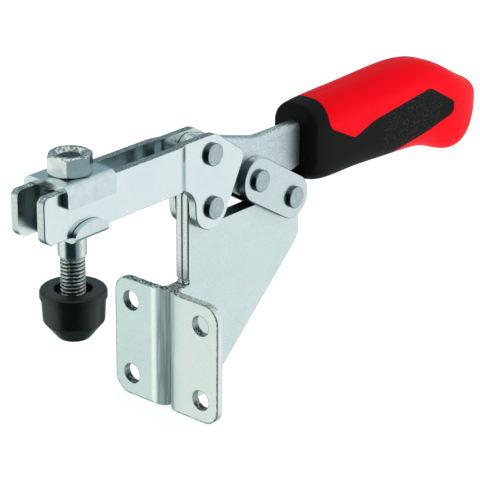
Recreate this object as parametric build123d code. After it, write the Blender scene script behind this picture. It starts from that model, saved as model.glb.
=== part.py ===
from build123d import *
import os
from math import asin, atan2, cos, hypot, radians, sin, sqrt, tan

# Horizontal toggle clamp with an open arm, an upright base and a soft grip.
# Millimetres. +X runs from the nose to the grip, +Z is up, the clamp is symmetric about y = 0.
# The origin is the centre of the four screw holes, on the mounting face of the two wings.

# Pivots of the four-bar linkage, as (x, z) in the closed and locked pose
PIVOT_ARM_HANDLE = (16.6, 66.2)
PIVOT_ARM_BASE = (17.1, 47.5)
PIVOT_LINK_HANDLE = (40.6, 50.3)
PIVOT_LINK_BASE = (58.9, 39.1)

# Fits shared by all the pieces
RUNNING_GAP = 0.3
PIN_CLEARANCE = 0.05
SLIDE_CLEARANCE = 0.15
EDGE_ROUND = 0.4

# Base: two bent sheets, back to back, each with one wing
BASE_SHEET = 2.75
WING_HALF_SPAN = 23.0
WING_HALF_HEIGHT = 21.5
WING_CORNER = 6.0
BEND_INNER_RADIUS = 1.5
HOLE_PITCH_Y = 31.0
HOLE_PITCH_Z = 27.0
HOLE_RADIUS = 3.5
BASE_REAR_X = 66.0
BASE_TOP_Z = 40.4
BASE_FRONT_X = 8.4
BASE_FOOT_LENGTH = 14.0
BASE_FOOT_ROUND = 6.0
BASE_HEEL_Z = 21.7
BASE_HEEL_ROUND = 7.0
BASE_LOBE_RADIUS = 7.5
BASE_NECK_ROUND = 3.0
BASE_REAR_LOBE_RADIUS = 7.1
RELIEF_DEPTH = 4.7
RELIEF_WIDTH = 2.0

# Rivets
RIVET_SHANK_RADIUS = 3.0
RIVET_HEAD_RADIUS = 3.85
RIVET_HEAD_HEIGHT = 1.5
RIVET_HEAD_ROUND = 0.45
OPEN_PIN_RADIUS = 2.5

# Arm: two cranked plates with an open slot between them
ARM_PLATE = 3.0
ARM_DEPTH = 15.5
ARM_TOP_Z = 72.8
NOSE_X = -60.4
NOSE_UPPER_ROUND = 2.3
NOSE_LOWER_ROUND = 3.6
SLOT_WIDTH = 8.4
CRANK_START_X = 0.0
CRANK_LENGTH = 3.2
CRANK_BEND_RADIUS = 2.0
ARM_LOBE_CENTRE = (16.6, 48.0)
ARM_LOBE_RADIUS = 8.0
ARM_NECK_ROUND = 8.0
ARM_SHOULDER_OFFSET = (12.2, -4.6)
ARM_SHOULDER_RADIUS = 3.4
LINK_RELIEF_GAP = 4.1

# Link plates
LINK_PLATE = 3.0
LINK_HALF_WIDTH = 7.75

# Handle lever: a strip folded on its top edge
LEVER_THICKNESS = 5.5
LEVER_FOLD_RADIUS = 2.2
LEVER_TOP_Z = 63.8
LEVER_BOTTOM_Z = 48.7
LEVER_BEND_X = 44.5
LEVER_BEND_RADIUS = 25.0
LEVER_PIVOT_WALL = 3.75
LEVER_FRONT_WALL = 1.8
TANG_HALF_HEIGHT = 5.5
TANG_LENGTH = 62.0

# How far the front pin wanders inside the lever while the clamp opens, as (x, z) from its rest place
PIN_DRIFT = [(-2.5, 1.2), (0.9, -3.9), (4.3, -5.2), (6.7, -4.0), (6.2, -1.3)]
DRIFT_CLEARANCE = 0.35

# Grip: stations along the lever as (x from the front face, top z, bottom z, half width, corner radius)
GRIP_FRONT_X = 65.6
GRIP_STATIONS = [
    (0, 69.2, 44.0, 9.2, 7.2),
    (6, 70.1, 41.0, 9.9, 8.3),
    (22, 70.8, 39.9, 10.0, 8.6),
    (42, 71.5, 39.0, 10.0, 8.6),
    (58, 71.7, 38.0, 10.0, 8.6),
    (70, 69.9, 36.3, 10.0, 8.6),
    (79, 66.4, 33.2, 10.0, 8.6),
    (88, 61.7, 30.6, 9.7, 8.6),
    (94, 58.6, 31.8, 8.6, 7.9),
    (99, 56.2, 36.6, 6.9, 6.4),
    (103, 53.4, 41.8, 4.6, 4.3),
]
GRIP_NOSE_ROUND = 2.2
COVER_THICKNESS = 2.4
COVER_OUTLINE = [(-8, 95), (8.4, 95), (7.4, 61.2), (22.0, 54.0), (33.0, 57.5), (66.5, 61.3),
                 (83.0, 52.0), (81.3, 47.8), (48, 41.5), (32, 25), (-8, 25)]
COVER_ROUNDS = [0, 0, 5, 3, 15, 6, 3, 2.5, 25, 0, 0]

# Clamping screw and what it carries
SCREW_X = -42.0
STUD_RADIUS = 4.0
STUD_TOP_Z = 80.4
STUD_TIP_BEVEL = 0.8
SHOULDER_RADIUS = 4.6
SHOULDER_BOTTOM_Z = 47.5
HEX_ACROSS_FLATS = 13.0
HEAD_HEIGHT = 5.3
HEAD_TOP_Z = 32.6
NUT_HEIGHT = 6.5
NUT_DISH_RADIUS = 5.0
NUT_DISH_DEPTH = 1.4
HEX_BEVEL_ANGLE = 30.0
NUT_TURN = 7.0
HEX_FACE_RADIUS = 6.1
WASHER_BEND_INNER_RADIUS = 0.6
WASHER_HOLE_CLEARANCE = 0.2
UPPER_PLATE = 2.0
UPPER_LENGTH = 21.0
UPPER_FLAP_DEPTH = 5.4
UPPER_FLAP_ROUND = 1.2
LOWER_PLATE = 1.6
LOWER_LENGTH = 14.8
LOWER_EAR_HEIGHT = 4.3

# Rubber cap on the screw's head
CAP_TOP_Z = 36.6
CAP_COLLAR_RADIUS = 10.7
CAP_COLLAR_Z = 33.8
CAP_NECK_RADIUS = 10.2
CAP_SIDE_RADIUS = 9.8
CAP_SHOULDER_Z = 26.0
CAP_FOOT_Z = 20.1
CAP_FOOT_RADIUS = 5.1
CAP_MOUTH_RADIUS = 6.0
CAP_ROUND = 1.2
CAP_RIM_ROUND = 0.5

# Layers across the clamp, as distances from the middle plane
OUTER_LAYER = BASE_SHEET + RUNNING_GAP
ARM_REAR_FACE = OUTER_LAYER + ARM_PLATE
LINK_FACE = OUTER_LAYER + LINK_PLATE
ARM_FRONT_INNER = SLOT_WIDTH / 2
ARM_FRONT_FACE = ARM_FRONT_INNER + ARM_PLATE
ARM_BOTTOM_Z = ARM_TOP_Z - ARM_DEPTH
FAR = 200.0
SKIN_SLOPE = 0.5


def side_slab(outline, y_low, y_high):
    """A flat outline drawn in x and z, given a thickness from y_low to y_high."""
    plane = Plane(origin=(0, y_high, 0), x_dir=(1, 0, 0), z_dir=(0, -1, 0))
    return extrude(plane * outline, amount=y_high - y_low)


def disc(centre, radius):
    """A filled circle round a point of the side view."""
    return Pos(centre[0], centre[1]) * Circle(radius)


def block(low_x, high_x, low_z, high_z):
    """A filled rectangle of the side view."""
    return Pos((low_x + high_x) / 2, (low_z + high_z) / 2) * Rectangle(high_x - low_x, high_z - low_z)


def hull_of_discs(discs):
    """The outline that a band pulled tight round several discs would take."""
    edges = [edge for centre, radius in discs for edge in disc(centre, radius).edges()]
    return make_hull(edges)


def rounded_polygon(points, radii):
    """A closed outline through corner points, each corner with its own radius."""
    return make_face(FilletPolyline(*points, radius=radii, close=True))


def mirrored(solid):
    """The same piece on the other side of the middle plane."""
    return mirror(solid, about=Plane.XZ)


def bore(centre, radius):
    """A round cutter along y at a pivot."""
    return side_slab(disc(centre, radius), -FAR, FAR)


def soften(solid, faces_at_y, radius=EDGE_ROUND, above_z=-FAR):
    """Break the rim of a sheet piece on the faces that lie at the given y."""
    rims = [edge for y in faces_at_y for edge in solid.edges().filter_by_position(Axis.Y, y, y)
            if edge.center().Z > above_z]
    return fillet(rims, radius)


def soften_outside(solid, radius=EDGE_ROUND):
    """Break the rim of a cranked plate where its outward skin, bends included, meets its sides."""
    skin = [face for face in solid.faces() if face.normal_at().Y > SKIN_SLOPE]
    edges = [edge for face in skin for edge in face.edges()]
    rims = [edge for edge in edges if sum(edge.is_same(other) for other in edges) == 1]
    return fillet(rims, radius)


def base_outline():
    """Side view of one base sheet behind the bend: web, two pivot lobes, slanted underside."""
    front_x = BASE_SHEET + BEND_INNER_RADIUS
    foot = front_x + BASE_FOOT_LENGTH
    web = rounded_polygon(
        [(front_x, -WING_HALF_HEIGHT), (foot, -WING_HALF_HEIGHT), (BASE_REAR_X, BASE_HEEL_Z),
         (BASE_REAR_X, PIVOT_LINK_BASE[1]), (PIVOT_LINK_BASE[0], BASE_TOP_Z), (front_x, BASE_TOP_Z)],
        [0, BASE_FOOT_ROUND, BASE_HEEL_ROUND, 0, 0, 0])
    rear_lobe = disc(PIVOT_LINK_BASE, BASE_REAR_LOBE_RADIUS)
    lobe_x, lobe_z = PIVOT_ARM_BASE[0] + BASE_LOBE_RADIUS, PIVOT_ARM_BASE[1] + BASE_LOBE_RADIUS
    neck = rounded_polygon(
        [(front_x, BASE_TOP_Z), (lobe_x, BASE_TOP_Z), (lobe_x, lobe_z), (BASE_FRONT_X, lobe_z),
         (BASE_FRONT_X, BASE_TOP_Z)],
        [0, 0, BASE_LOBE_RADIUS, BASE_NECK_ROUND, 0])
    front_cut = Pos(front_x, (WING_HALF_HEIGHT + RELIEF_WIDTH / 2 + FAR / 2)) * Rectangle(
        2 * (BASE_FRONT_X - front_x), FAR)
    relief = Pos(front_x, WING_HALF_HEIGHT + RELIEF_WIDTH / 2) * SlotOverall(
        2 * RELIEF_DEPTH, RELIEF_WIDTH)
    return web + rear_lobe + neck - front_cut - relief


def base_plate():
    """One base sheet on the +y side: an upright web bent outwards into a wing with two holes."""
    outer_radius = BASE_SHEET + BEND_INNER_RADIUS
    web = side_slab(base_outline(), 0, BASE_SHEET)
    height = 2 * WING_HALF_HEIGHT
    centre = Pos(outer_radius, outer_radius, -WING_HALF_HEIGHT)
    ring = extrude(Circle(outer_radius) - Circle(BEND_INNER_RADIUS), amount=height)
    quarter = Pos(-outer_radius / 2, -outer_radius / 2, height / 2) * Box(
        outer_radius, outer_radius, height)
    bend = centre * (ring & quarter)
    wing_width = WING_HALF_SPAN - outer_radius
    wing_shape = Pos(outer_radius + wing_width / 2, 0) * Rectangle(wing_width, height)
    outer_corners = wing_shape.vertices().group_by(Axis.X)[-1]
    wing_shape = fillet(outer_corners, WING_CORNER)
    for side in (-1, 1):
        wing_shape -= Pos(HOLE_PITCH_Y / 2, side * HOLE_PITCH_Z / 2) * Circle(HOLE_RADIUS)
    wing = extrude(Plane(origin=(0, 0, 0), x_dir=(0, 1, 0), z_dir=(1, 0, 0)) * wing_shape,
                   amount=BASE_SHEET)
    plate = soften(web + bend + wing, [0, BASE_SHEET], above_z=WING_HALF_HEIGHT + RELIEF_WIDTH)
    for pivot in (PIVOT_ARM_BASE, PIVOT_LINK_BASE):
        plate -= bore(pivot, RIVET_SHANK_RADIUS + PIN_CLEARANCE)
    return plate


def arm_outline():
    """Side view of an arm plate: a straight bar with a blunt nose, and a tall rear with two pivots."""
    crown_radius = ARM_TOP_Z - PIVOT_ARM_HANDLE[1]
    rear_x = PIVOT_ARM_HANDLE[0]
    bar = rounded_polygon(
        [(NOSE_X, ARM_BOTTOM_Z), (rear_x, ARM_BOTTOM_Z), (rear_x, ARM_TOP_Z), (NOSE_X, ARM_TOP_Z)],
        [NOSE_LOWER_ROUND, 0, 0, NOSE_UPPER_ROUND])
    shoulder = (rear_x + ARM_SHOULDER_OFFSET[0], PIVOT_ARM_HANDLE[1] + ARM_SHOULDER_OFFSET[1])
    rear = hull_of_discs([(PIVOT_ARM_HANDLE, crown_radius), (ARM_LOBE_CENTRE, ARM_LOBE_RADIUS),
                          (shoulder, ARM_SHOULDER_RADIUS)])
    lobe_x, lobe_z = ARM_LOBE_CENTRE
    neck_x = lobe_x - ARM_LOBE_RADIUS
    outline = bar + rear + block(neck_x, lobe_x, lobe_z, ARM_TOP_Z)
    throat = outline.vertices().sort_by_distance((neck_x, ARM_BOTTOM_Z, 0))[0]
    outline = fillet(throat, ARM_NECK_ROUND)
    return outline - disc(PIVOT_LINK_HANDLE, LINK_HALF_WIDTH + LINK_RELIEF_GAP)


def arm_plate():
    """One arm plate on the +y side, cranked outwards in front to open the screw's slot."""
    step = ARM_FRONT_INNER - OUTER_LAYER
    crank_end_x = CRANK_START_X + CRANK_LENGTH
    half_turn = atan2(step, CRANK_LENGTH) / 2
    shift = ARM_PLATE * tan(half_turn)
    inner, outer = CRANK_BEND_RADIUS, CRANK_BEND_RADIUS + ARM_PLATE
    strip = rounded_polygon(
        [(-FAR, ARM_FRONT_INNER), (CRANK_START_X, ARM_FRONT_INNER), (crank_end_x, OUTER_LAYER),
         (FAR, OUTER_LAYER), (FAR, ARM_REAR_FACE), (crank_end_x + shift, ARM_REAR_FACE),
         (CRANK_START_X + shift, ARM_FRONT_FACE), (-FAR, ARM_FRONT_FACE)],
        [0, inner, outer, 0, 0, inner, outer, 0])
    plate = soften_outside(extrude(strip, amount=FAR) & side_slab(arm_outline(), 0, FAR))
    plate -= bore(PIVOT_ARM_BASE, RIVET_SHANK_RADIUS + PIN_CLEARANCE)
    return plate - bore(PIVOT_ARM_HANDLE, OPEN_PIN_RADIUS + PIN_CLEARANCE)


def link_plate():
    """One straight link plate on the +y side, between the base's rear pivot and the lever."""
    outline = hull_of_discs([(PIVOT_LINK_HANDLE, LINK_HALF_WIDTH), (PIVOT_LINK_BASE, LINK_HALF_WIDTH)])
    plate = soften(side_slab(outline, OUTER_LAYER, LINK_FACE), [LINK_FACE])
    for pivot in (PIVOT_LINK_HANDLE, PIVOT_LINK_BASE):
        plate -= bore(pivot, RIVET_SHANK_RADIUS + PIN_CLEARANCE)
    return plate


def rivet(pivot, shank_radius, face):
    """A rivet across the clamp: a shank with a flat head on each outer face."""
    shank = side_slab(disc(pivot, shank_radius), -face, face)
    head = side_slab(disc(pivot, RIVET_HEAD_RADIUS), face, face + RIVET_HEAD_HEIGHT)
    head = soften(head, [face + RIVET_HEAD_HEIGHT], RIVET_HEAD_ROUND)
    return shank + head + mirrored(head)


def drift_discs(radius):
    """The places that the front pin passes through inside the lever, as discs."""
    x, z = PIVOT_ARM_HANDLE
    return [((x + dx, z + dz), radius) for dx, dz in PIN_DRIFT]


def upper_tangent(point, centre, radius):
    """Where a line from a point touches the upper side of a disc that lies to its left."""
    across, up = centre[0] - point[0], centre[1] - point[1]
    distance = hypot(across, up)
    angle = atan2(up, across) - asin(radius / distance)
    reach = sqrt(distance ** 2 - radius ** 2)
    return (point[0] + reach * cos(angle), point[1] + reach * sin(angle))


def handle_lever():
    """The folded lever: front eye, pivot eye, straight back and a narrower tang for the grip."""
    window = OPEN_PIN_RADIUS + DRIFT_CLEARANCE
    pivot_eye_radius = RIVET_SHANK_RADIUS + LEVER_PIVOT_WALL
    eye_discs = drift_discs(window + LEVER_FRONT_WALL)
    front = hull_of_discs(eye_discs + [(PIVOT_LINK_HANDLE, pivot_eye_radius)])
    bend = (LEVER_BEND_X, LEVER_TOP_Z)
    fold_start = upper_tangent(bend, *eye_discs[-1])
    grip_x = GRIP_FRONT_X + COVER_THICKNESS
    pivot_low = PIVOT_LINK_HANDLE[1] - pivot_eye_radius
    back = rounded_polygon(
        [fold_start, bend, (grip_x, LEVER_TOP_Z), (grip_x, LEVER_BOTTOM_Z),
         (PIVOT_LINK_HANDLE[0], pivot_low)],
        [0, LEVER_BEND_RADIUS, 0, 0, 0])
    half = LEVER_THICKNESS / 2
    back = side_slab(back, -half, half)
    fold = [edge for edge in back.edges()
            if abs(abs(edge.center().Y) - half) < PIN_CLEARANCE
            and edge.center().Z > LEVER_TOP_Z - PIN_CLEARANCE]
    back = fillet(fold, LEVER_FOLD_RADIUS)
    middle = (LEVER_TOP_Z + LEVER_BOTTOM_Z) / 2
    tang = Pos(grip_x + TANG_LENGTH / 2, middle) * Rectangle(TANG_LENGTH, 2 * TANG_HALF_HEIGHT)
    lever = back + side_slab(front, -half, half) + side_slab(tang, -half, half)
    lever -= side_slab(hull_of_discs(drift_discs(window)), -FAR, FAR)
    return lever - bore(PIVOT_LINK_HANDLE, RIVET_SHANK_RADIUS + PIN_CLEARANCE)


def grip_loft(inset, first):
    """The grip's body through its stations, or the same body drawn in by an even wall."""
    sections = []
    last = len(GRIP_STATIONS) - 1
    for index, (x, top, bottom, half_width, corner) in enumerate(GRIP_STATIONS[first:], first):
        width, height = 2 * (half_width - inset), top - bottom - 2 * inset
        end_shift = inset if index == last else 0
        plane = Plane(origin=(GRIP_FRONT_X + x - end_shift, 0, (top + bottom) / 2),
                      x_dir=(0, 1, 0), z_dir=(1, 0, 0))
        sections.append(plane * RectangleRounded(width, height, corner - inset))
    return loft(sections)


def grip_body():
    """The whole grip, red and black together, with its two end faces rounded over."""
    body = grip_loft(0, 0)
    ends = body.faces().sort_by(Axis.X)
    return fillet(ends[0].edges(), GRIP_NOSE_ROUND)


def grip_pieces(lever):
    """The hard grip with its soft cover: the cover wraps the front and runs back along both sides."""
    body = grip_body()
    core = grip_loft(COVER_THICKNESS, 1)
    points = [(GRIP_FRONT_X + x, z) for x, z in COVER_OUTLINE]
    region = side_slab(rounded_polygon(points, COVER_ROUNDS), -FAR, FAR)
    cover = (body & region) - core
    shell = body - cover
    return shell - lever, cover - lever


def hexagon(across_flats, height, base_z, turn=0):
    """A hexagonal prism on the screw's axis, turned away from having a flat towards the nose."""
    shape = RegularPolygon(across_flats / 2, 6, major_radius=False, rotation=30 + turn)
    return Pos(SCREW_X, 0, base_z) * extrude(shape, amount=height)


def round_bar(radius, low_z, high_z):
    """A round bar on the screw's axis."""
    return Pos(SCREW_X, 0, low_z) * extrude(Circle(radius), amount=high_z - low_z)


def bevel_form(base_z, height):
    """The turned form that takes the corners off a hexagon at both of its ends."""
    corner = HEX_ACROSS_FLATS / sqrt(3)
    rise = (corner - HEX_FACE_RADIUS) * tan(radians(HEX_BEVEL_ANGLE))
    profile = Polygon((0, 0), (HEX_FACE_RADIUS, 0), (corner, rise), (corner, height - rise),
                      (HEX_FACE_RADIUS, height), (0, height), align=None)
    return Pos(SCREW_X, 0, base_z) * revolve(Plane.XZ * profile, axis=Axis.Z)


def clamp_spindle():
    """The screw: a stud through the slot, a smooth shoulder under the arm, a thread and a hex head."""
    stud = round_bar(STUD_RADIUS, SHOULDER_BOTTOM_Z, STUD_TOP_Z)
    stud = chamfer(stud.edges().sort_by(Axis.Z)[-1], STUD_TIP_BEVEL)
    shoulder_top = ARM_BOTTOM_Z - SLIDE_CLEARANCE - LOWER_PLATE
    shoulder = round_bar(SHOULDER_RADIUS, SHOULDER_BOTTOM_Z, shoulder_top)
    shoulder = chamfer(shoulder.edges().sort_by(Axis.Z)[0], SHOULDER_RADIUS - STUD_RADIUS)
    thread = round_bar(STUD_RADIUS, HEAD_TOP_Z, SHOULDER_BOTTOM_Z)
    head = hexagon(HEX_ACROSS_FLATS, HEAD_HEIGHT, HEAD_TOP_Z - HEAD_HEIGHT)
    return stud + shoulder + thread + head


def hex_nut():
    """The nut on the upper washer, with bevelled corners and a dished mouth."""
    base_z = ARM_TOP_Z + SLIDE_CLEARANCE + UPPER_PLATE
    nut = hexagon(HEX_ACROSS_FLATS, NUT_HEIGHT, base_z, NUT_TURN)
    nut &= bevel_form(base_z, NUT_HEIGHT)
    nut -= round_bar(STUD_RADIUS, base_z, base_z + NUT_HEIGHT)
    dish = Pos(SCREW_X, 0, base_z + NUT_HEIGHT - NUT_DISH_DEPTH / 2) * Cone(
        STUD_RADIUS, NUT_DISH_RADIUS, NUT_DISH_DEPTH)
    return nut - dish


def saddle_washer(thickness, length, flap_depth, flap):
    """A bent washer, drawn plate down: a flat plate with a hole, and a flap of any outline each side."""
    inner = ARM_FRONT_FACE + RUNNING_GAP
    outer = inner + thickness
    inside = WASHER_BEND_INNER_RADIUS
    outside = inside + thickness
    section = rounded_polygon(
        [(-outer, -thickness), (outer, -thickness), (outer, flap_depth), (inner, flap_depth),
         (inner, 0), (-inner, 0), (-inner, flap_depth), (-outer, flap_depth)],
        [outside, outside, 0, 0, inside, inside, 0, 0])
    bent = extrude(Plane(origin=(-length / 2, 0, 0), x_dir=(0, 1, 0), z_dir=(1, 0, 0)) * section,
                   amount=length)
    bent &= side_slab(flap, -outer, outer)
    hole = Pos(0, 0, -thickness) * extrude(Circle(STUD_RADIUS + WASHER_HOLE_CLEARANCE),
                                           amount=thickness)
    return bent - hole


def upper_washer():
    """The washer on top of the arm, its square flaps hanging down outside the two plates."""
    half = UPPER_LENGTH / 2
    flap = rounded_polygon(
        [(-half, -UPPER_PLATE), (half, -UPPER_PLATE), (half, UPPER_FLAP_DEPTH),
         (-half, UPPER_FLAP_DEPTH)], [0, 0, UPPER_FLAP_ROUND, UPPER_FLAP_ROUND])
    washer = Rot(X=180) * saddle_washer(UPPER_PLATE, UPPER_LENGTH, UPPER_FLAP_DEPTH, flap)
    return Pos(SCREW_X, 0, ARM_TOP_Z + SLIDE_CLEARANCE) * washer


def lower_washer():
    """The shorter washer under the arm, with half-round ears that rise beside the plates."""
    half = LOWER_LENGTH / 2
    ear = Ellipse(half, LOWER_EAR_HEIGHT) - block(-half, half, -FAR, 0)
    ear += block(-half, half, -LOWER_PLATE, 0)
    washer = saddle_washer(LOWER_PLATE, LOWER_LENGTH, LOWER_EAR_HEIGHT, ear)
    return Pos(SCREW_X, 0, ARM_BOTTOM_Z - SLIDE_CLEARANCE) * washer


def pressure_cap(spindle):
    """The rubber cap pushed over the screw's head: a collar, a tapered foot and an open mouth."""
    profile = rounded_polygon(
        [(0, CAP_FOOT_Z), (CAP_FOOT_RADIUS, CAP_FOOT_Z), (CAP_SIDE_RADIUS, CAP_SHOULDER_Z),
         (CAP_NECK_RADIUS, CAP_COLLAR_Z), (CAP_COLLAR_RADIUS, CAP_COLLAR_Z),
         (CAP_COLLAR_RADIUS, CAP_TOP_Z), (CAP_MOUTH_RADIUS, CAP_TOP_Z),
         (CAP_MOUTH_RADIUS, HEAD_TOP_Z), (0, HEAD_TOP_Z)],
        [0, CAP_ROUND, CAP_ROUND, 0, 0, CAP_ROUND, CAP_RIM_ROUND, 0, 0])
    solid = revolve(Plane.XZ * profile, axis=Axis.Z)
    return Pos(SCREW_X, 0, 0) * solid - spindle


def build():
    """Every piece of the clamp by name, in the closed pose."""
    base, arm, link = base_plate(), arm_plate(), link_plate()
    lever, spindle = handle_lever(), clamp_spindle()
    shell, cover = grip_pieces(lever)
    link_rivets = [rivet(pivot, RIVET_SHANK_RADIUS, LINK_FACE)
                   for pivot in (PIVOT_LINK_HANDLE, PIVOT_LINK_BASE)]
    return {
        "base_plate_left": mirrored(base),
        "base_plate_right": base,
        "arm_plate_left": mirrored(arm),
        "arm_plate_right": arm,
        "arm_base_rivet": rivet(PIVOT_ARM_BASE, RIVET_SHANK_RADIUS, ARM_REAR_FACE),
        "arm_lever_rivet": rivet(PIVOT_ARM_HANDLE, OPEN_PIN_RADIUS, ARM_REAR_FACE),
        "link_plate_left": mirrored(link),
        "link_plate_right": link,
        "link_lever_rivet": link_rivets[0],
        "link_base_rivet": link_rivets[1],
        "handle_lever": lever,
        "grip_shell": shell,
        "grip_cover": cover,
        "clamp_spindle": spindle,
        "hex_nut": hex_nut(),
        "upper_washer": upper_washer(),
        "lower_washer": lower_washer(),
        "pressure_cap": pressure_cap(spindle),
    }


os.makedirs("parts", exist_ok=True)
for name, piece in build().items():
    export_step(piece, f"parts/{name}.step")
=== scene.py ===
# %% [markdown]
# # A horizontal toggle clamp, dressed for the camera
# The solids of this clamp come ready made and exact: bent sheet plates, rivets, a lever, a grip
# and a clamping screw. This lesson keeps them where they are and gives each one the finish of
# the real thing. Only the screw is made anew, as a surface, because its thread matters to the
# eye but would weigh down the solids.

# %% Load the solids
from math import cos, radians, sin

import bpy
import numpy as np
from mathutils import Matrix, Vector


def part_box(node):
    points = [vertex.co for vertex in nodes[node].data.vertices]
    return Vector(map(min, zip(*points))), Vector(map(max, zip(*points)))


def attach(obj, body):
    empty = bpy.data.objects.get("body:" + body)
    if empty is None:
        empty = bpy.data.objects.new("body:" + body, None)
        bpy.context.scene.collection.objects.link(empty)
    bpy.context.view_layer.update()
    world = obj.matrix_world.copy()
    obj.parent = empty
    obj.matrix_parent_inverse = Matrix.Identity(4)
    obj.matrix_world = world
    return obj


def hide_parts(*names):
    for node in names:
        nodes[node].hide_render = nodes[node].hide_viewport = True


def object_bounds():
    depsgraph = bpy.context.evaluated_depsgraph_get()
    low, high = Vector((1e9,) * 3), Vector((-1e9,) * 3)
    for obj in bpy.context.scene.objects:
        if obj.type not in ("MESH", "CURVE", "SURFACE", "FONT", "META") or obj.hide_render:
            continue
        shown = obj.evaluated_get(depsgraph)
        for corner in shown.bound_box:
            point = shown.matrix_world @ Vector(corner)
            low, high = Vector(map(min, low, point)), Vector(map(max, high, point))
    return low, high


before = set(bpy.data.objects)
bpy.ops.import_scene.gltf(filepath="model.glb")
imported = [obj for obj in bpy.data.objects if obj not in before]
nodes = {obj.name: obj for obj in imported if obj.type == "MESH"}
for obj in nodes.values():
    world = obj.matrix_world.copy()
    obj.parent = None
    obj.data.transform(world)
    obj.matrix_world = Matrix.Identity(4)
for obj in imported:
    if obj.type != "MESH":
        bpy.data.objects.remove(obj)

solids_box = [list(corner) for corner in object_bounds()]
MM = 0.001
print("solids:", len(nodes), "box in mm:", [[round(v / MM, 1) for v in c] for c in solids_box])

# %% [markdown]
# ## The camera
# The photograph looks down on the clamp from the nose end, a little to the left of the screw.
# The direction, distance and lens were found by matching known points of the clamp, such as the
# four screw holes and the rivets, to their places in the picture. A long lens from 0.7 m keeps
# the parallel edges nearly parallel, as in a catalogue picture.

# %% Place the camera
CAMERA_TURN, CAMERA_RISE, CAMERA_ROLL = radians(-49.524), radians(22.43), radians(0.408)
CAMERA_TARGET, CAMERA_DISTANCE = Vector((37.72, 0, 27.924)) * MM, 699.115 * MM
CAMERA_LENS, SENSOR_WIDTH = 154.25, 36
NEAREST, FARTHEST = 0.05, 50


def add_to_scene(name, data):
    """An object for a camera, a lamp or a mesh, linked to the scene at the origin."""
    made = bpy.data.objects.new(name, data)
    bpy.context.scene.collection.objects.link(made)
    return made


def camera_axes(turn, rise, roll):
    """Three unit vectors, from angles in radians. back points from the target to the camera, at
    turn round z from -y and at rise above the floor. right is level and up = back x right, and
    both are then rolled about back."""
    back = Vector((sin(turn) * cos(rise), -cos(turn) * cos(rise), sin(rise)))
    right = Vector((cos(turn), sin(turn), 0))
    up = back.cross(right)
    return right * cos(roll) + up * sin(roll), up * cos(roll) - right * sin(roll), back


camera = add_to_scene("camera", bpy.data.cameras.new("camera"))
camera.data.lens, camera.data.sensor_width = CAMERA_LENS, SENSOR_WIDTH
camera.data.clip_start, camera.data.clip_end = NEAREST, FARTHEST
right, up, back = camera_axes(CAMERA_TURN, CAMERA_RISE, CAMERA_ROLL)
turned = Matrix((right, up, back)).transposed().to_4x4()
camera.matrix_world = Matrix.Translation(CAMERA_TARGET + back * CAMERA_DISTANCE) @ turned
bpy.context.scene.camera = camera
print("camera at mm:", [round(v / MM) for v in camera.location])

# %% [markdown]
# ## A bench for node trees
# Every finish in this lesson, and the sky too, is a tree of shader nodes. The nodes could be
# joined by hand, but then a change is slow and nobody can read the sum that they make. So a
# small class adds them. Each call adds a node or two and hands back what comes out, and a
# finish can be read in the code like a formula. A soft step is given as a pair of numbers, where
# it starts and where it is full. Each roughness is a pair too, a share of some noise and a base.

# %% The bench


class Bench:
    """A node tree on the bench. Each call adds nodes and hands back what comes out of them."""

    def __init__(self, owner):
        self.nodes, self.links = owner.node_tree.nodes, owner.node_tree.links

    def node(self, kind, inputs, **settings):
        """Adds a node, sets its options, and fills its inputs with numbers or other outputs."""
        made = self.nodes.new("ShaderNode" + kind)
        for key, value in settings.items():
            setattr(made, key, value)
        for key, value in inputs.items():
            self.fill(made.inputs[key], value)
        return made

    def fill(self, socket, value):
        """Puts a number or colour on a socket, or joins another node's output to it."""
        if isinstance(value, bpy.types.NodeSocket):
            self.links.new(value, socket)
        else:
            socket.default_value = value

    def math(self, operation, a, b=0.0, c=0.0):
        """One sum on numbers: a operation b, and then c where the operation takes three."""
        return self.node("Math", {0: a, 1: b, 2: c}, operation=operation).outputs[0]

    def times(self, first, *others):
        """The product of numbers. As shares, it is 1 only where all of them are 1."""
        for other in others:
            first = self.math("MULTIPLY", first, other)
        return first

    def size(self, value):
        """A number without its sign."""
        return self.math("ABSOLUTE", value)

    def vector(self, operation, a, b=(0, 0, 0)):
        """One sum on vectors. A dot product or a length comes back as a number."""
        made = self.node("VectorMath", {0: a, 1: b}, operation=operation)
        return made.outputs["Value" if operation in ("DOT_PRODUCT", "LENGTH") else "Vector"]

    def part(self, vector, axis):
        """One of a vector's three numbers, named X, Y or Z."""
        return self.node("SeparateXYZ", {0: vector}).outputs[axis]

    def steps(self, value, low, high, to_low=0.0, to_high=1.0):
        """A soft step: to_low at low, to_high at high, and an s-curve between them."""
        inputs = {"Value": value, "From Min": low, "From Max": high, "To Min": to_low,
                  "To Max": to_high}
        return self.node("MapRange", inputs, interpolation_type="SMOOTHSTEP").outputs[0]

    def band(self, value, start, full, ebb, end):
        """A soft band: up from 0 to 1 between start and full, and down again from ebb to end."""
        return self.times(self.steps(value, start, full), self.steps(value, end, ebb))

    def mix(self, share, a, b):
        """A colour between a and b: a at share 0, b at share 1. The Mix node takes its two
        colours at places 6 and 7."""
        return self.node("Mix", {0: share, 6: a, 7: b}, data_type="RGBA").outputs[2]

    def blend(self, share, a, b):
        """A number between a and b, which the Mix node takes at places 2 and 3."""
        return self.node("Mix", {0: share, 2: a, 3: b}, data_type="FLOAT").outputs[0]


def rgb(red, green, blue):
    """A colour for a socket."""
    return (red, green, blue, 1.0)


print("tools on the bench:", [name for name in vars(Bench) if not name.startswith("_")])

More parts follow.
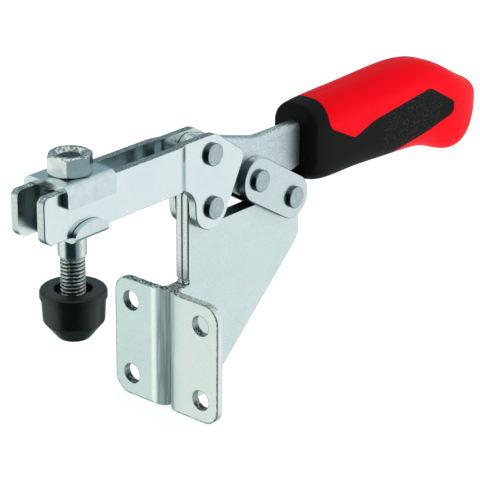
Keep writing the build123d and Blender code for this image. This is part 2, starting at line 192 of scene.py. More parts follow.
# %% [markdown]
# ## The sky
# Bright metal is a mirror, so it looks like whatever stands round it. The sides of the clamp that
# look to the right mirror a white wall, those that look back to the left mirror a second one, and
# whatever looks straight at the camera mirrors a dark opening between the two. The rest of the
# room is dim and slightly blue, with a paler patch low down behind. Real walls would also throw
# shadows and cost time, so they are painted on the sky, and for mirror rays only. Rays that
# scatter from dull surfaces get an even light, so that colours keep their strength.

# %% The sky: two white walls, a dark opening and a dim room
ROOM_TINT, EVEN_LIGHT, PAGE_WHITE = rgb(0.28, 0.385, 0.42), rgb(0.52, 0.52, 0.52), rgb(1, 1, 1)
BEHIND, BEHIND_EDGE, BEHIND_CORE = (0.76, 0.65, 0), 0.6, 0.9
BEHIND_TOP, BEHIND_FULL, BEHIND_TINT = 0.15, -0.1, rgb(0.60, 0.74, 0.76)
WALLS = (("right wall", (0.76, -0.65, 0), 0.7, 1.04, rgb(1.0, 1.0, 1.0)),
         ("left wall", (-0.85, 0.53, 0), 0.5, 0.95, rgb(0.94, 0.98, 0.93)),
         ("opening", (-0.84, -0.54, 0), 0.62, 0.82, rgb(0.010, 0.026, 0.028)))
LEVELS = (("ceiling", 0.4, 0.8, rgb(0.85, 0.88, 0.88)),
          ("below", -0.6, -0.85, rgb(0.10, 0.14, 0.15)))

bpy.context.scene.view_settings.view_transform = "Standard"
sky = bpy.data.worlds.new("studio")
sky.use_nodes = True
bpy.context.scene.world = sky
paint = Bench(sky)
ray = paint.node("TexCoord", {}).outputs["Generated"]
level_ray = paint.vector("NORMALIZE", paint.vector("MULTIPLY", ray, (1, 1, 0)))
ray_height = paint.part(ray, "Z")


def towards(direction, edge, core):
    """A soft patch of the sky, by the cosine between the level ray and a direction: 0 up to the
    cosine edge, and 1 from the cosine core."""
    aim = tuple(Vector(direction).normalized())
    return paint.steps(paint.vector("DOT_PRODUCT", level_ray, aim), edge, core)


low_behind = paint.times(towards(BEHIND, BEHIND_EDGE, BEHIND_CORE),
                         paint.steps(ray_height, BEHIND_TOP, BEHIND_FULL))
mirrored = paint.mix(low_behind, ROOM_TINT, BEHIND_TINT)
for _, direction, edge, core, tint in WALLS:
    mirrored = paint.mix(towards(direction, edge, core), mirrored, tint)
for _, start, full, tint in LEVELS:
    mirrored = paint.mix(paint.steps(ray_height, start, full), mirrored, tint)
rays = paint.node("LightPath", {}).outputs
unseen = paint.mix(rays["Is Diffuse Ray"], mirrored, EVEN_LIGHT)
seen = paint.mix(rays["Is Camera Ray"], unseen, PAGE_WHITE)
paint.fill(paint.nodes["Background"].inputs["Color"], seen)
print("sky:", [name for name, *_ in WALLS + LEVELS], "nodes:", len(paint.nodes))

# %% [markdown]
# ## Materials that know where they are
# A pattern on the clamp needs two things: the place of each point, to lay marks and noise down in
# millimetres, and the way the surface looks there, to tell a face from a cut edge. Both are read
# in the piece's own axes, so a pattern stays put when the linkage moves. An image wrapped round
# the piece would need seams and a flat layout, and this way needs neither.

# %% A material on the bench


class Finish(Bench):
    """A material on the bench, with its shader. place is the place of each point on the piece in
    millimetres, and facing is the direction in which the surface looks there."""

    def __init__(self, name, metallic=0.0):
        self.material = bpy.data.materials.new(name)
        self.material.use_nodes = True
        super().__init__(self.material)
        self.shader, self.looks = self.nodes["Principled BSDF"], {}
        source = self.node("TexCoord", {}).outputs
        scaled = self.node("VectorMath", {0: source["Object"], "Scale": 1 / MM}, operation="SCALE")
        self.place, self.facing = scaled.outputs["Vector"], source["Normal"]
        self.coat({"Metallic": metallic})

    def coat(self, looks):
        """Fills the shader's inputs, such as its colour and roughness, and remembers them."""
        for name, value in looks.items():
            self.fill(self.shader.inputs[name], value)
        self.looks.update(looks)

    def at(self, axis):
        """The place of a point along an axis, in millimetres."""
        return self.part(self.place, axis)

    def look(self, axis):
        """How squarely the surface looks along an axis: 1 along it, 0 aside and -1 against it."""
        return self.part(self.facing, axis)

    def distance(self, point, centre, across):
        """The distance of a point from a centre. Axes whose number in across is 0 don't count."""
        apart = self.vector("SUBTRACT", point, centre)
        return self.vector("LENGTH", self.vector("MULTIPLY", apart, across))

    def noise(self, size, detail, stretch=(1, 1, 1), seed=0):
        """Cloudy noise whose blobs are about size millimetres across, stretched along each axis."""
        at = self.vector("MULTIPLY", self.place, tuple(1 / (size * s) for s in stretch))
        at = self.vector("ADD", at, (seed, seed * 0.7, -seed))
        inputs = {"Vector": at, "Scale": 1.0, "Detail": detail}
        return self.node("TexNoise", inputs).outputs["Fac"]

    def bumps(self, height, depth, under=None):
        """Bends the light as if the surface rose by depth millimetres where height is 1. Other
        bumps may lie under these."""
        inputs = {"Height": height, "Distance": depth * MM, "Strength": 1.0}
        if under is not None:
            inputs["Normal"] = under
        return self.node("Bump", inputs).outputs["Normal"]


def put_on(finish, *names, slot):
    """Gives a finish to solids, in place of whatever they carried."""
    for name in names:
        data = nodes[name].data
        data.materials.clear()
        data.materials.append(finish.material)
    print(finish.material.name, "on", ", ".join(names))


# %% [markdown]
# ## Floor and lamp
# The clamp stands on plain pale paper, and one large soft lamp on the right gives the shadows
# their direction. The paper glows a little, so that it turns as white as the page round it. Both
# are kept out of the mirror rays, because the sky already holds what the metal should mirror.

# %% The floor
FLOOR_RADIUS, FLOOR_COLUMNS, FLOOR_GLOW = 6.0, 64, 0.6
PAPER_DARK, PAPER_PALE, PAPER_GRAIN = rgb(0.90, 0.90, 0.90), rgb(0.93, 0.93, 0.93), 25


def disc_surface(name, centre, radius, columns):
    """A flat disc as a fan: the rim is centre + radius (cos t, sin t), and every sector meets the
    centre."""
    t = np.linspace(0, 2 * np.pi, columns, endpoint=False)
    rim = np.stack([np.cos(t), np.sin(t), 0 * t], 1) * radius + np.array(centre)
    ring = np.arange(columns)
    faces = np.stack([ring, np.roll(ring, -1), np.full(columns, columns)], 1)
    mesh = bpy.data.meshes.new(name)
    mesh.from_pydata(np.vstack([rim, [centre]]).tolist(), [], faces.tolist())
    return add_to_scene(name, mesh)


floor_height = solids_box[0][2]
floor = disc_surface("floor", (0, 0, floor_height), FLOOR_RADIUS, FLOOR_COLUMNS)
floor.visible_glossy = False
paper = Finish("paper")
paper.coat({"Base Color": paper.mix(paper.noise(PAPER_GRAIN, 2), PAPER_DARK, PAPER_PALE),
            "Roughness": 0.95, "Specular IOR Level": 0.0,
            "Emission Color": PAGE_WHITE, "Emission Strength": FLOOR_GLOW})
floor.data.materials.append(paper.material)
print("floor at mm:", round(floor_height / MM, 2), "sectors:", len(floor.data.polygons))

# %% The lamp
LAMP_PLACE, LAMP_SIZE, LAMP_POWER = Vector((0.62, -0.55, 0.62)), 0.7, 4.0

lamp = add_to_scene("soft_lamp", bpy.data.lights.new("soft_lamp", "AREA"))
lamp.data.energy, lamp.data.size = LAMP_POWER, LAMP_SIZE
lamp.location = CAMERA_TARGET + LAMP_PLACE
lamp.visible_glossy = False
lamp.rotation_mode = "QUATERNION"
lamp.rotation_quaternion = LAMP_PLACE.to_track_quat("Z", "Y")
print("lamp at m:", [round(v, 2) for v in lamp.location])

# %% [markdown]
# ## Zinc on punched sheet
# The base, arm and link plates are punched and bent from steel sheet, then zinc plated. The flat
# faces keep the soft mottle of rolled steel under a bright coat with a cool tint. The cut edges
# are rougher: the punch leaves lines and small pits across the thickness, and the zinc lies
# thinner there. One finish does both. It asks which way a face looks, and so finds the flat faces
# and the cut edges by itself. The lever has the same finish, duller and full of pale flecks.

# %% The two looks of a punched sheet
CLOUDS, MOTTLE, FLECKS = 14, 2.2, 0.7
CLOUD_STEP, FLECK_STEP, LEVEL_STEP = (0.35, 0.65), (0.52, 0.62), (0.2, 0.6, 0.25, 1.0)
FLECK_TONE, PIT_TONE = rgb(0.95, 1.0, 1.0), rgb(0.22, 0.28, 0.28)
LINE_DARK, LINE_PALE = rgb(0.62, 0.70, 0.70), rgb(0.86, 0.92, 0.91)
MOTTLE_SHARE, MOTTLE_SHADE = 0.3, 0.86
PIT_EDGE, PIT_CORE = 0.5, 0.66


def shaded(colour, share):
    """A colour whose red, green and blue are cut down to a share."""
    return rgb(*(share * value for value in colour[:3]))


def rolled_face(bench, cool, warm, mottle, speckle):
    """The colour of a rolled face: clouds between cool and warm, darker where the mottle is high,
    with a share of pale flecks."""
    colour = bench.mix(bench.steps(bench.noise(CLOUDS, 2), *CLOUD_STEP), cool, warm)
    colour = bench.mix(bench.times(mottle, MOTTLE_SHARE), colour, shaded(cool, MOTTLE_SHADE))
    flecks = bench.steps(bench.noise(FLECKS, 2, seed=11), *FLECK_STEP)
    return bench.mix(bench.times(flecks, speckle), colour, FLECK_TONE)


def cut_edge(bench, lines, pits, pitting):
    """The colour of a cut edge: lines from dark to pale, and dark pits, fewer where the edge is
    upright. pitting makes the pits wider."""
    colour = bench.mix(lines, LINE_DARK, LINE_PALE)
    dark = bench.steps(pits, PIT_EDGE - pitting, PIT_CORE - pitting)
    level_edge = bench.steps(bench.size(bench.look("Z")), *LEVEL_STEP)
    return bench.mix(bench.times(dark, level_edge), colour, PIT_TONE)


print("blobs of noise in mm:", {"clouds": CLOUDS, "mottle": MOTTLE, "flecks": FLECKS})

# %% The plated sheet finish
FINE_GRAIN, CUT_LINES, CUT_PITS = 0.35, 0.18, 0.7
MOTTLE_DEPTH, GRAIN_DEPTH, SPECKLE_DEPTH, EDGE_DEPTH = 0.012, 0.004, 0.01, 0.02
MOTTLE_ROUGH, EDGE_ROUGH, EDGE_SHINE = 0.12, 0.2, 0.2


def plated_sheet(name, cool, warm, flat_share, cut_stretch, shine=0.14, speckle=0.0, pitting=0.0,
                 marks=()):
    """Zinc plate. Where flat_share is 1 it is a rolled face, between the colours cool and warm,
    and where it is 0 a cut edge, with lines stretched by cut_stretch across the sheet. shine is
    the roughness of the smoothest spots. marks are pairs of a function, that is 1 where a mark
    lies, and the colour of the metal there."""
    bench = Finish(name, metallic=1.0)
    face = flat_share(bench)
    mottle, fine = bench.noise(MOTTLE, 4, seed=3), bench.noise(FINE_GRAIN, 2, seed=7)
    lines, pits = bench.noise(CUT_LINES, 2, cut_stretch, 5), bench.noise(CUT_PITS, 3, seed=13)
    rolled = rolled_face(bench, cool, warm, mottle, speckle)
    colour = bench.mix(face, cut_edge(bench, lines, pits, pitting), rolled)
    for mark, tint in marks:
        colour = bench.mix(mark(bench), colour, tint)
    rough_face = bench.math("MULTIPLY_ADD", mottle, MOTTLE_ROUGH, shine)
    rough_cut = bench.math("MULTIPLY_ADD", lines, EDGE_ROUGH, EDGE_SHINE)
    ripple = bench.bumps(bench.times(mottle, face), MOTTLE_DEPTH)
    grain = bench.bumps(bench.times(fine, face), GRAIN_DEPTH + SPECKLE_DEPTH * speckle, ripple)
    edge = bench.times(bench.math("ADD", lines, pits), bench.math("SUBTRACT", 1.0, face))
    bench.coat({"Base Color": colour, "Roughness": bench.blend(face, rough_cut, rough_face),
                "Normal": bench.bumps(edge, EDGE_DEPTH, grain)})
    return bench


print("grain and lines in mm:", FINE_GRAIN, CUT_LINES)

# %% Where a sheet is flat
EDGE_LOOK, FACE_LOOK = 0.45, 0.7
BEND_END, WING_START, BEND_EDGE = 4.0, 4.3, (0.25, 0.4)


def looks_along(bench, axis):
    """1 where the surface looks along an axis, either way, and 0 where it looks aside."""
    return bench.steps(bench.size(bench.look(axis)), EDGE_LOOK, FACE_LOOK)


def flat_in_y(bench):
    """A straight plate: its faces look along y, whichever way the linkage has turned it."""
    return looks_along(bench, "Y")


def flat_in_bent_base(bench):
    """The base sheet turns from the web, which looks along y, through the bend to the wing, which
    looks along x. Its cut edges look up or down, or lie on the wing's rim and the web's rear."""
    bend_edge = bench.steps(bench.size(bench.look("Z")), *BEND_EDGE)
    bend_face = bench.math("SUBTRACT", 1.0, bend_edge)
    wing = bench.steps(bench.size(bench.at("Y")), BEND_END, WING_START)
    web = bench.steps(bench.at("X"), BEND_END, WING_START)
    share = bench.blend(wing, bend_face, looks_along(bench, "X"))
    return bench.blend(web, share, looks_along(bench, "Y"))


print("the bend ends", BEND_END, "mm from the corner")

# %% [markdown]
# ## Marks of making and use, and painted shade
# Punching, bending and soot leave the base different in each place. Some marks are painted shade
# and painted reflection instead: in the screw holes, on the upper edges under the link, and along
# the neck's seams and rims. Every mark is a function that is 1 where the mark lies and 0 elsewhere,
# worked out from the place of a point and from the way the surface looks there. The marks then lie
# one on another in one list, and a wrong one is easy to find and take out, which a painted picture
# doesn't allow.

# %% Marks of bending
BEND_IN_X, BEND_IN_Y = (5.2, 3.6), (4.6, 3.4)
STREAKS, STREAK_STRETCH, STREAK_STEP = 0.7, (1, 1, 40), (0.42, 0.6)
TOOL_LINE, RIGHT_WING = (4.0, 5.2, 5.8, 7.0), (-4.2, -8, 0, 0.7)


def bend_of_base(bench):
    """1 in the corner where the web meets the wing, x and |y| both under about 4 mm."""
    return bench.times(bench.steps(bench.at("X"), *BEND_IN_X),
                       bench.steps(bench.size(bench.at("Y")), *BEND_IN_Y))


def streaks_of_bend(bench):
    """Upright streaks in the bend, where the bending tool has slid down the sheet."""
    streaks = bench.steps(bench.noise(STREAKS, 2, STREAK_STRETCH, 21), *STREAK_STEP)
    return bench.times(streaks, bend_of_base(bench))


def tool_line_of_base(bench):
    """1 on an upright line beside the left bend, which the edge of the bending tool polished."""
    return bench.band(bench.at("Y"), *TOOL_LINE)


def right_wing_of_base(bench):
    """0.7 on the wing at the right, which came from a paler sheet."""
    return bench.steps(bench.at("Y"), *RIGHT_WING)


print("tool line at y in mm:", TOOL_LINE)

# %% Soot, and painted shade and painted reflection on the base's edges
SHADE_ALONG, SHADE_UPWARD, SEAM_FORWARD = (8, 12), (0.2, 0.5), (-0.1, -0.3)
NECK_JOINT, NECK_RIMS, NECK_HEIGHT = (0.45, 0.25), (2.15, 2.45, 3.0, 3.2), (22.5, 24)
SOOT_HEIGHT, SOOT_UPWARD, SOOT_LEFT = (19.4, 20.4, 24, 25), (0.1, 0.4), (-7, -4, 0.4, 1.0)
SOOT_SPOTS, SOOT_STEP = 0.9, (0.44, 0.54)


def shade_under_link_of_base(bench):
    """Painted shade: 1 on the base's upper edges behind the front pivot, close under the moving
    link and the lever, which shade them.
    """
    return bench.times(bench.steps(bench.at("X"), *SHADE_ALONG),
                       bench.steps(bench.look("Z"), *SHADE_UPWARD))


def painted_seams_of_base(bench):
    """1 on the neck's front edge, painted dark: painted shade and painted reflection in the joint
    between the two sheets, close to y = 0, and painted reflection of rounded corners on their outer
    rims, |y| from about 2.3 to 3 mm."""
    across = bench.size(bench.at("Y"))
    joint, rims = bench.steps(across, *NECK_JOINT), bench.band(across, *NECK_RIMS)
    neck = bench.steps(bench.at("Z"), *NECK_HEIGHT)
    forward = bench.steps(bench.look("X"), *SEAM_FORWARD)
    return bench.times(bench.math("MAXIMUM", joint, rims), neck, forward)


def soot_of_base(bench):
    """Spots of soot on the upper edges of the wings and bends, fainter on the right wing."""
    spots = bench.steps(bench.noise(SOOT_SPOTS, 3, seed=15), *SOOT_STEP)
    left = bench.steps(bench.at("Y"), *SOOT_LEFT)
    upward = bench.steps(bench.look("Z"), *SOOT_UPWARD)
    return bench.times(spots, left, bench.band(bench.at("Z"), *SOOT_HEIGHT), upward)


print("soot at z in mm:", SOOT_HEIGHT)

# %% Marks on holes and rims, with painted shade in the holes
HOLES_Y, HOLES_Z, HOLE_RADIUS = 15.5, 13.5, 3.5
WING_HALF_SPAN, WING_HALF_HEIGHT, WING_CORNER = 23.0, 21.5, 6.0
HOLE_FADE, HOLE_SOOT, HOLE_SOOT_STEP, HOLE_SOOT_DROP = (0.3, 0.1), 1.1, (0.38, 0.5), (-0.8, -2.4)
RIM_WIDTH, RIM_PATCHES, RIM_STEP = (0.8, 0.4), 1.6, (0.36, 0.6, 0.25, 1.0)
WING_FRONT, WING_ACROSS, TO_NOSE = (-0.4, -0.7), (4.3, 5.3), (-0.15, -0.45)


def holes_of_base(bench):
    """1 in the screw holes, up to 0.3 mm past their radius, seen along x, where the base gets
    painted shade.
    """
    mirrored_place = bench.vector("ABSOLUTE", bench.place)
    radius = bench.distance(mirrored_place, (0, HOLES_Y, HOLES_Z), (0, 1, 1))
    return bench.steps(radius, *(HOLE_RADIUS + past for past in HOLE_FADE))


def soot_of_holes(bench):
    """Spots of soot in the lower half of the screw holes. The height over a hole's centre is
    (|z| - height of the upper holes) x the sign of z."""
    above = bench.times(bench.math("SUBTRACT", bench.size(bench.at("Z")), HOLES_Z),
                        bench.math("SIGN", bench.at("Z")))
    spots = bench.steps(bench.noise(HOLE_SOOT, 3, seed=17), *HOLE_SOOT_STEP)
    return bench.times(bench.steps(above, *HOLE_SOOT_DROP), spots, holes_of_base(bench))


def rims_of_wings(bench):
    """Dark patches on the last half millimetre of a wing's front. Seen along x a wing is a
    rounded rectangle, and a point in its rim is a corner's radius away from the rectangle that
    joins the centres of the corners."""
    inset = (0, WING_HALF_SPAN - WING_CORNER, WING_HALF_HEIGHT - WING_CORNER)
    past = bench.vector("SUBTRACT", bench.vector("ABSOLUTE", bench.place), inset)
    past = bench.vector("MAXIMUM", past, (0, 0, 0))
    reach = bench.vector("LENGTH", bench.vector("MULTIPLY", past, (0, 1, 1)))
    rim = bench.steps(reach, *(WING_CORNER - width for width in RIM_WIDTH))
    patches = bench.steps(bench.noise(RIM_PATCHES, 4, seed=19), *RIM_STEP)
    front = bench.steps(bench.look("X"), *WING_FRONT)
    wing = bench.steps(bench.size(bench.at("Y")), *WING_ACROSS)
    return bench.times(rim, patches, front, wing)


def nose_end_shade_of_link(bench):
    """1 on the link's cut edge where it looks to the nose, painted dark there as painted shade
    beside the arm's plates.
    """
    to_nose = bench.steps(bench.look("X"), *TO_NOSE)
    return bench.times(to_nose, bench.math("SUBTRACT", 1.0, flat_in_y(bench)))


print("holes at mm:", (HOLES_Y, HOLES_Z), "radius:", HOLE_RADIUS)

# %% [markdown]
# ## Dressing the sheets
# Now each plate gets its own shade of the one finish. As a pure mirror the base would turn
# nearly black from behind, where it faces the dim room. So its metal is dulled a little, and most
# of all in the bends, where the plating is stretched.

# %% Dress the arm and the links
ALONG_Y = (1, 12, 1)

arm_finish = plated_sheet("plated_arm", rgb(0.74, 0.84, 0.86), rgb(0.76, 0.85, 0.86), flat_in_y,
                          ALONG_Y, pitting=0.15)
# The link's cut edge that looks to the nose is painted dark, as painted shade.
link_finish = plated_sheet("plated_link", rgb(0.60, 0.72, 0.75), rgb(0.63, 0.74, 0.76), flat_in_y,
                           ALONG_Y, shine=0.18, speckle=0.1,
                           marks=[(nose_end_shade_of_link, rgb(0.10, 0.13, 0.14))])
put_on(arm_finish, "arm_plate_left", "arm_plate_right", slot="plated_sheet")
put_on(link_finish, "link_plate_left", "link_plate_right", slot="plated_sheet")

# %% Dress the base and the lever
BASE_METAL, BEND_METAL, BEND_ROUGH = 0.78, 0.6, 0.7
BASE_MARKS = ((tool_line_of_base, rgb(0.84, 0.96, 0.91)),
              (right_wing_of_base, rgb(0.77, 0.82, 0.79)),
              (streaks_of_bend, rgb(0.36, 0.50, 0.48)),
              (rims_of_wings, rgb(0.20, 0.27, 0.27)),
              # Painted shade in the screw holes.
              (holes_of_base, rgb(0.30, 0.36, 0.36)),
              (soot_of_holes, rgb(0.03, 0.045, 0.045)),
              # Painted shade on the upper edges under the link and lever.
              (shade_under_link_of_base, rgb(0.07, 0.09, 0.09)),
              # Painted shade and painted reflection along the neck's seams and rims.
              (painted_seams_of_base, rgb(0.06, 0.08, 0.08)),
              (soot_of_base, rgb(0.06, 0.085, 0.085)))

base_finish = plated_sheet("plated_base", rgb(0.61, 0.745, 0.74), rgb(0.65, 0.77, 0.76),
                           flat_in_bent_base, (6, 6, 1), shine=0.2, marks=BASE_MARKS)
bend = bend_of_base(base_finish)
base_finish.coat({"Roughness": base_finish.blend(bend, base_finish.looks["Roughness"], BEND_ROUGH),
                  "Metallic": base_finish.steps(bend, 0, 1, BASE_METAL, BEND_METAL)})
put_on(base_finish, "base_plate_left", "base_plate_right", slot="plated_sheet")
lever_finish = plated_sheet("plated_lever", rgb(0.71, 0.83, 0.88), rgb(0.75, 0.86, 0.90),
                            flat_in_y, ALONG_Y, shine=0.44, speckle=0.7)
put_on(lever_finish, "handle_lever", slot="plated_sheet")

# %% [markdown]
# ## Rivets, nut and washers
# A rivet's head is pressed flat by a tool that spins, so it carries faint rings round its centre
# and a few bruises. The rings are a wave of the distance from the rivet's own axis, so each
# rivet needs its own centre. The side of each head is painted dark, as painted shade beside the
# head. The nut and the two bent washers are brighter, with short lines from cutting and bending,
# and the nut's ends are dull.

# %% The rivet finish
RIVET_SIDE_SHADE, RIVET_DARK = rgb(0.10, 0.125, 0.13), rgb(0.34, 0.43, 0.445)
RIVET_PALE = rgb(0.50, 0.60, 0.61)
RING_WAVE, RING_SHARE, RING_HEIGHT = 12.5, 0.12, 0.3
BRUISES, RIVET_GRAIN, DENT_DEPTH, RING_DEPTH = 1.4, 0.3, 0.12, 0.006
TONE_STEP, RIVET_ROUGH = (0.3, 0.7), (0.3, 0.1)


def pressed_rivet(name, node):
    """Rings round the rivet's axis, sin(12.5 r), which is one ring about every 0.5 mm, over
    bruises of cloudy noise."""
    low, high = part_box(node)
    centre = (low + high) / 2 / MM
    bench = Finish(name, metallic=1.0)
    radius = bench.distance(bench.place, tuple(centre), (1, 0, 1))
    rings = bench.math("SINE", bench.times(radius, RING_WAVE))
    bruise, grain = bench.noise(BRUISES, 3, seed=centre.x), bench.noise(RIVET_GRAIN, 2, seed=2)
    tone = bench.steps(bench.math("MULTIPLY_ADD", rings, RING_SHARE, bruise), *TONE_STEP)
    fine = bench.math("MULTIPLY_ADD", rings, RING_HEIGHT, grain)
    head = bench.mix(tone, RIVET_DARK, RIVET_PALE)
    # The head's side is painted dark: painted shade beside the head.
    bench.coat({"Base Color": bench.mix(flat_in_y(bench), RIVET_SIDE_SHADE, head),
                "Roughness": bench.math("MULTIPLY_ADD", bruise, *RIVET_ROUGH),
                "Normal": bench.bumps(fine, RING_DEPTH, bench.bumps(bruise, DENT_DEPTH))})
    put_on(bench, node, slot="plated_rivet")
    return centre


for rivet in ("arm_base_rivet", "arm_lever_rivet", "link_lever_rivet", "link_base_rivet"):
    print("centre in mm:", [round(v, 1) for v in pressed_rivet("pressed_" + rivet, rivet)])

# %% The bright finish of nut and washers
BRIGHT_NUT, BRIGHT_WASHER = rgb(0.76, 0.83, 0.82), rgb(0.68, 0.79, 0.81)
END_DARK, END_PALE, BRIGHT_SHADE = rgb(0.12, 0.15, 0.15), rgb(0.74, 0.82, 0.80), 0.92
BRIGHT_CLOUDS, BRIGHT_LINES, BRIGHT_PITS = 3, 0.15, 0.9
END_STEP, CLEAN_STEP, DULL_STEP = (0.3, 0.6), (0.3, 0.7), (0.42, 0.6)
BRIGHT_ROUGH, LINE_DEPTH, PIT_DEPTH = (0.2, 0.12), 0.006, 0.15


def bright_steel(name, colour, stretch, ends=0.0):
    """Bright zinc with fine lines that are stretched by the given factors along x, y and z. ends
    is how far faces that look up or down turn to the dull, pitted grey of a cut end."""
    bench = Finish(name, metallic=1.0)
    clouds, pits = bench.noise(BRIGHT_CLOUDS, 3), bench.noise(BRIGHT_PITS, 3, seed=12)
    lines = bench.noise(BRIGHT_LINES, 2, stretch, 4)
    end = bench.times(bench.steps(bench.size(bench.look("Z")), *END_STEP), ends)
    clean = bench.mix(bench.steps(clouds, *CLEAN_STEP), colour, shaded(colour, BRIGHT_SHADE))
    dull = bench.mix(bench.steps(pits, *DULL_STEP), END_DARK, END_PALE)
    pitted = bench.bumps(bench.times(pits, end), PIT_DEPTH)
    bench.coat({"Base Color": bench.mix(end, clean, dull),
                "Roughness": bench.math("MULTIPLY_ADD", clouds, *BRIGHT_ROUGH),
                "Normal": bench.bumps(lines, LINE_DEPTH, pitted)})
    return bench


put_on(bright_steel("bright_nut", BRIGHT_NUT, (1, 1, 10), ends=0.8), "hex_nut",
       slot="plated_screw")
put_on(bright_steel("bright_washer", BRIGHT_WASHER, (12, 1, 1)), "upper_washer", "lower_washer",
       slot="plated_screw")

# %% [markdown]
# ## The clamping screw with its thread
# The solid screw is a plain bar. The real one has an M8 thread of 1.25 mm pitch above and below
# its smooth shoulder. A thread is a bar whose radius dips in a wave that climbs by one pitch for
# each turn, so the whole screw fits in one formula on a grid of turns and heights, and needs no
# modelling by hand. The hexagon at the foot is in the same grid.

# %% A closed skin from a grid of points
SHARP_ANGLE = radians(30)


def skin(name, grid):
    """A closed skin from rows x columns x 3 points in millimetres. Columns wrap round, and a
    single point at the middle of the first and of the last row closes each end. Edges over the
    sharp angle stay crisp."""
    rows, columns, _ = grid.shape
    points = grid.reshape(-1, 3)
    row, column = np.meshgrid(np.arange(rows - 1), np.arange(columns), indexing="ij")
    a, b = (row * columns + column).ravel(), (row * columns + (column + 1) % columns).ravel()
    quads = np.stack([a, b, b + columns, a + columns], 1)
    first_row, last_row = np.arange(columns), np.arange(columns) + (rows - 1) * columns
    foot_point, top_point = np.full(columns, len(points)), np.full(columns, len(points) + 1)
    foot = np.stack([first_row, foot_point, np.roll(first_row, -1)], 1)
    top = np.stack([last_row, np.roll(last_row, -1), top_point], 1)
    corners = np.vstack([points, [grid[0].mean(0), grid[-1].mean(0)]]) * MM
    mesh = bpy.data.meshes.new(name)
    mesh.from_pydata(corners.tolist(), [], quads.tolist() + foot.tolist() + top.tolist())
    mesh.polygons.foreach_set("use_smooth", np.ones(len(mesh.polygons), bool))
    mesh.set_sharp_from_angle(angle=SHARP_ANGLE)
    return add_to_scene(name, mesh)


print("edges stay crisp from", round(SHARP_ANGLE, 2), "radians")

# %% The screw's outline
THREAD_PITCH, THREAD_RUNOUT, STUD_RADIUS, TIP_BEVEL = 1.25, 0.9, 4.0, 0.8
SHOULDER_LOW, SHOULDER_HIGH, SHOULDER_RADIUS, SHOULDER_BEVEL = 47.5, 55.55, 4.6, 0.6
HEAD_TOP, HEAD_RADIUS, HEAD_BEVEL = 32.6, 6.5, 0.2
ROW_STEP = THREAD_PITCH / 12
screw_low, screw_high = (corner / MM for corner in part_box("clamp_spindle"))


def threaded_part(z, low, high):
    """1 between low and high, fading out over the last 0.9 mm at both ends."""
    return np.clip((z - low) / THREAD_RUNOUT, 0, 1) * np.clip((high - z) / THREAD_RUNOUT, 0, 1)


def screw_outline():
    """Rows from the foot to the tip as (height, radius, share of thread, share of hexagon)."""
    foot, tip = screw_low.z, screw_high.z
    lower = np.arange(HEAD_TOP, SHOULDER_LOW, ROW_STEP)
    upper = np.arange(SHOULDER_HIGH, tip, ROW_STEP)
    lower_thread = threaded_part(lower, HEAD_TOP, SHOULDER_LOW)
    upper_thread = threaded_part(upper, SHOULDER_HIGH, tip + THREAD_RUNOUT)
    upper_radius = STUD_RADIUS + (np.clip(tip - upper, 0, TIP_BEVEL) - TIP_BEVEL)
    return np.vstack([
        [[foot, HEAD_RADIUS - HEAD_BEVEL, 0, 1], [foot, HEAD_RADIUS, 0, 1],
         [HEAD_TOP, HEAD_RADIUS, 0, 1]],
        np.stack([lower, 0 * lower + STUD_RADIUS, lower_thread, 0 * lower], 1),
        [[SHOULDER_LOW, STUD_RADIUS, 0, 0], [SHOULDER_LOW + SHOULDER_BEVEL, SHOULDER_RADIUS, 0, 0],
         [SHOULDER_HIGH, SHOULDER_RADIUS, 0, 0]],
        np.stack([upper, upper_radius, upper_thread, 0 * upper], 1),
        [[tip, STUD_RADIUS - TIP_BEVEL, 0, 0]]])


print("screw from", round(screw_low.z, 2), "to", round(screw_high.z, 2), "mm high")

# %% The screw's surface
THREAD_DEPTH, FLANK_SLOPE, FLANK_START, COLUMNS = 0.6, 1.5, 0.42, 96
screw_axis = (screw_low + screw_high) / 2


def screw_grid():
    """radius(t, z) = outline(z) - depth x dip(z / pitch - t), a dip that climbs one pitch each
    turn t. Its crests are flat, and then the flanks fall straight to the root. In the head the
    radius is half the flats / cos(t), taken from the nearest flat."""
    z, radius, thread, hexagon = screw_outline().T[:, :, None]
    t = np.linspace(0, 2 * np.pi, COLUMNS, endpoint=False)[None, :]
    wave = np.abs(2 * ((z / THREAD_PITCH - t / (2 * np.pi)) % 1) - 1)
    dip = np.clip(wave * FLANK_SLOPE - FLANK_START, 0, 1) * thread * THREAD_DEPTH
    from_flat = (t + np.pi / 6) % (np.pi / 3) - np.pi / 6
    r = (radius - dip) * np.where(hexagon > 0, 1 / np.cos(from_flat), 1)
    return np.stack([screw_axis.x + r * np.cos(t), screw_axis.y + r * np.sin(t), z + 0 * t], 2)


screw = skin("threaded_screw", screw_grid())
print("screw faces:", len(screw.data.polygons))

# %% The screw's finish
BRIGHT_SCREW, ROOT_SHADE, THREAD_ROUGH = rgb(0.74, 0.80, 0.79), rgb(0.03, 0.04, 0.04), 0.3


def screw_finish():
    """Bright steel whose thread roots, closer to the axis than the crests, are painted dark as
    painted shade.
    """
    bench = bright_steel("bright_screw", BRIGHT_SCREW, (1, 1, 1), ends=0.7)
    radius = bench.distance(bench.place, tuple(screw_axis), (1, 1, 0))
    crest = bench.steps(radius, STUD_RADIUS - THREAD_DEPTH, STUD_RADIUS - 0.1)
    threaded = bench.steps(radius, STUD_RADIUS + 0.2, STUD_RADIUS + 0.1)
    clean, polish = bench.looks["Base Color"], bench.looks["Roughness"]
    # The thread roots get painted shade.
    bench.coat({"Base Color": bench.mix(crest, ROOT_SHADE, clean),
                "Roughness": bench.blend(threaded, polish, THREAD_ROUGH)})
    return bench


screw.data.materials.append(screw_finish().material)
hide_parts("clamp_spindle")
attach(screw, "spindle")
print(screw.data.materials[0].name, "on", screw.name)

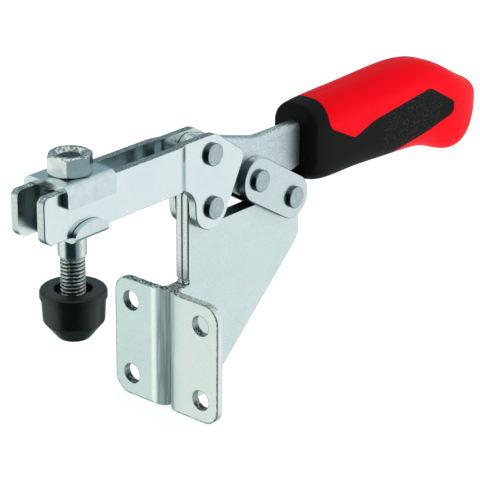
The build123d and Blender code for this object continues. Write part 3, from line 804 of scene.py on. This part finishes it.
# %% [markdown]
# ## The grip
# The grip is moulded twice: a hard red body, and a soft black cover that wraps the front and
# runs back along both sides. The hard body is smooth, with the faint ripple of moulded plastic,
# and the room shows in it only faintly, so its red stays full. The soft cover has a fine even
# grain that breaks up its shine, and a patch of small pips for the fingers. The pips are under a
# millimetre high, so they are bumps in the finish and not in the shape.

# %% The hard red body
RED_DARK, RED_BRIGHT = rgb(0.84, 0.002, 0.007), rgb(0.92, 0.003, 0.013)
RED_SHINE, RED_ROUGH = rgb(1.0, 0.1, 0.8), (0.14, 0.3)
RED_SWELL, RED_DUST, SWELL_DEPTH, DUST_DEPTH = 9, 0.5, 0.05, 0.003


def hard_red():
    """Red plastic: a low ripple of a few millimetres, and fine dust marks that dull the shine. Its
    shine is tinted, because the red glows through the clear skin of the moulding."""
    bench = Finish("hard_red")
    swell, dust = bench.noise(RED_SWELL, 2), bench.noise(RED_DUST, 3, seed=9)
    bench.coat({"Base Color": bench.mix(swell, RED_DARK, RED_BRIGHT),
                "Roughness": bench.math("MULTIPLY_ADD", dust, *RED_ROUGH),
                "Normal": bench.bumps(dust, DUST_DEPTH, bench.bumps(swell, SWELL_DEPTH)),
                "Specular IOR Level": 0.03, "Specular Tint": RED_SHINE})
    return bench


put_on(hard_red(), "grip_shell", slot="grip_red")

# %% The soft black cover
BLACK_DARK, BLACK_PALE = rgb(0.003, 0.0036, 0.0036), rgb(0.005, 0.006, 0.006)
BLACK_GRAIN, BLACK_SWELL, BLACK_DEPTH, BLACK_ROUGH = 0.3, 6, 0.012, (0.16, 0.36)
PIP_TONE, PIP_DEPTH = rgb(0.022, 0.026, 0.026), 0.12
PIP_RADIUS, PIPS_ALONG = (0.42, 0.2), (102, 106, 138, 142)


def soft_black():
    """Soft black cover: an even grain of about 0.3 mm over a slow swell, and along the sides a
    patch of small raised pips, one about every millimetre, each round the middle of a cell."""
    bench = Finish("soft_black")
    grain, swell = bench.noise(BLACK_GRAIN, 2, seed=6), bench.noise(BLACK_SWELL, 2)
    cells = bench.node("TexVoronoi", {"Vector": bench.place, "Scale": 1.0}).outputs["Distance"]
    pips = bench.times(bench.steps(cells, *PIP_RADIUS), bench.band(bench.at("X"), *PIPS_ALONG))
    plain = bench.mix(swell, BLACK_DARK, BLACK_PALE)
    bench.coat({"Base Color": bench.mix(pips, plain, PIP_TONE),
                "Roughness": bench.math("MULTIPLY_ADD", grain, *BLACK_ROUGH),
                "Normal": bench.bumps(pips, PIP_DEPTH, bench.bumps(grain, BLACK_DEPTH)),
                "Specular IOR Level": 0.06})
    return bench


put_on(soft_black(), "grip_cover", slot="grip_black")

# %% [markdown]
# ## The rubber cap
# The cap over the screw's head is moulded rubber: nearly black and dull, with a pale bloom where
# it has been handled. The bloom is slow noise that lifts both the colour and the roughness, and
# the shine is tinted a little green, as on the real cap.

# %% The rubber finish
RUBBER_DARK, RUBBER_BLOOM = rgb(0.0006, 0.001, 0.0009), rgb(0.003, 0.006, 0.0045)
RUBBER_GRAIN, BLOOM, RUBBER_DEPTH = 0.4, 4, 0.035
RUBBER_SHINE, RUBBER_ROUGH = rgb(0.80, 1.0, 0.97), (0.18, 0.24)


def cap_rubber():
    """Dull black rubber with a grain of 0.4 mm and a slow bloom."""
    bench = Finish("cap_rubber")
    grain, bloom = bench.noise(RUBBER_GRAIN, 3, seed=8), bench.noise(BLOOM, 3, seed=1)
    bench.coat({"Base Color": bench.mix(bloom, RUBBER_DARK, RUBBER_BLOOM),
                "Roughness": bench.math("MULTIPLY_ADD", bloom, *RUBBER_ROUGH),
                "Normal": bench.bumps(grain, RUBBER_DEPTH),
                "Specular IOR Level": 0.5, "Specular Tint": RUBBER_SHINE})
    return bench


put_on(cap_rubber(), "pressure_cap", slot="cap_rubber")

# %% [markdown]
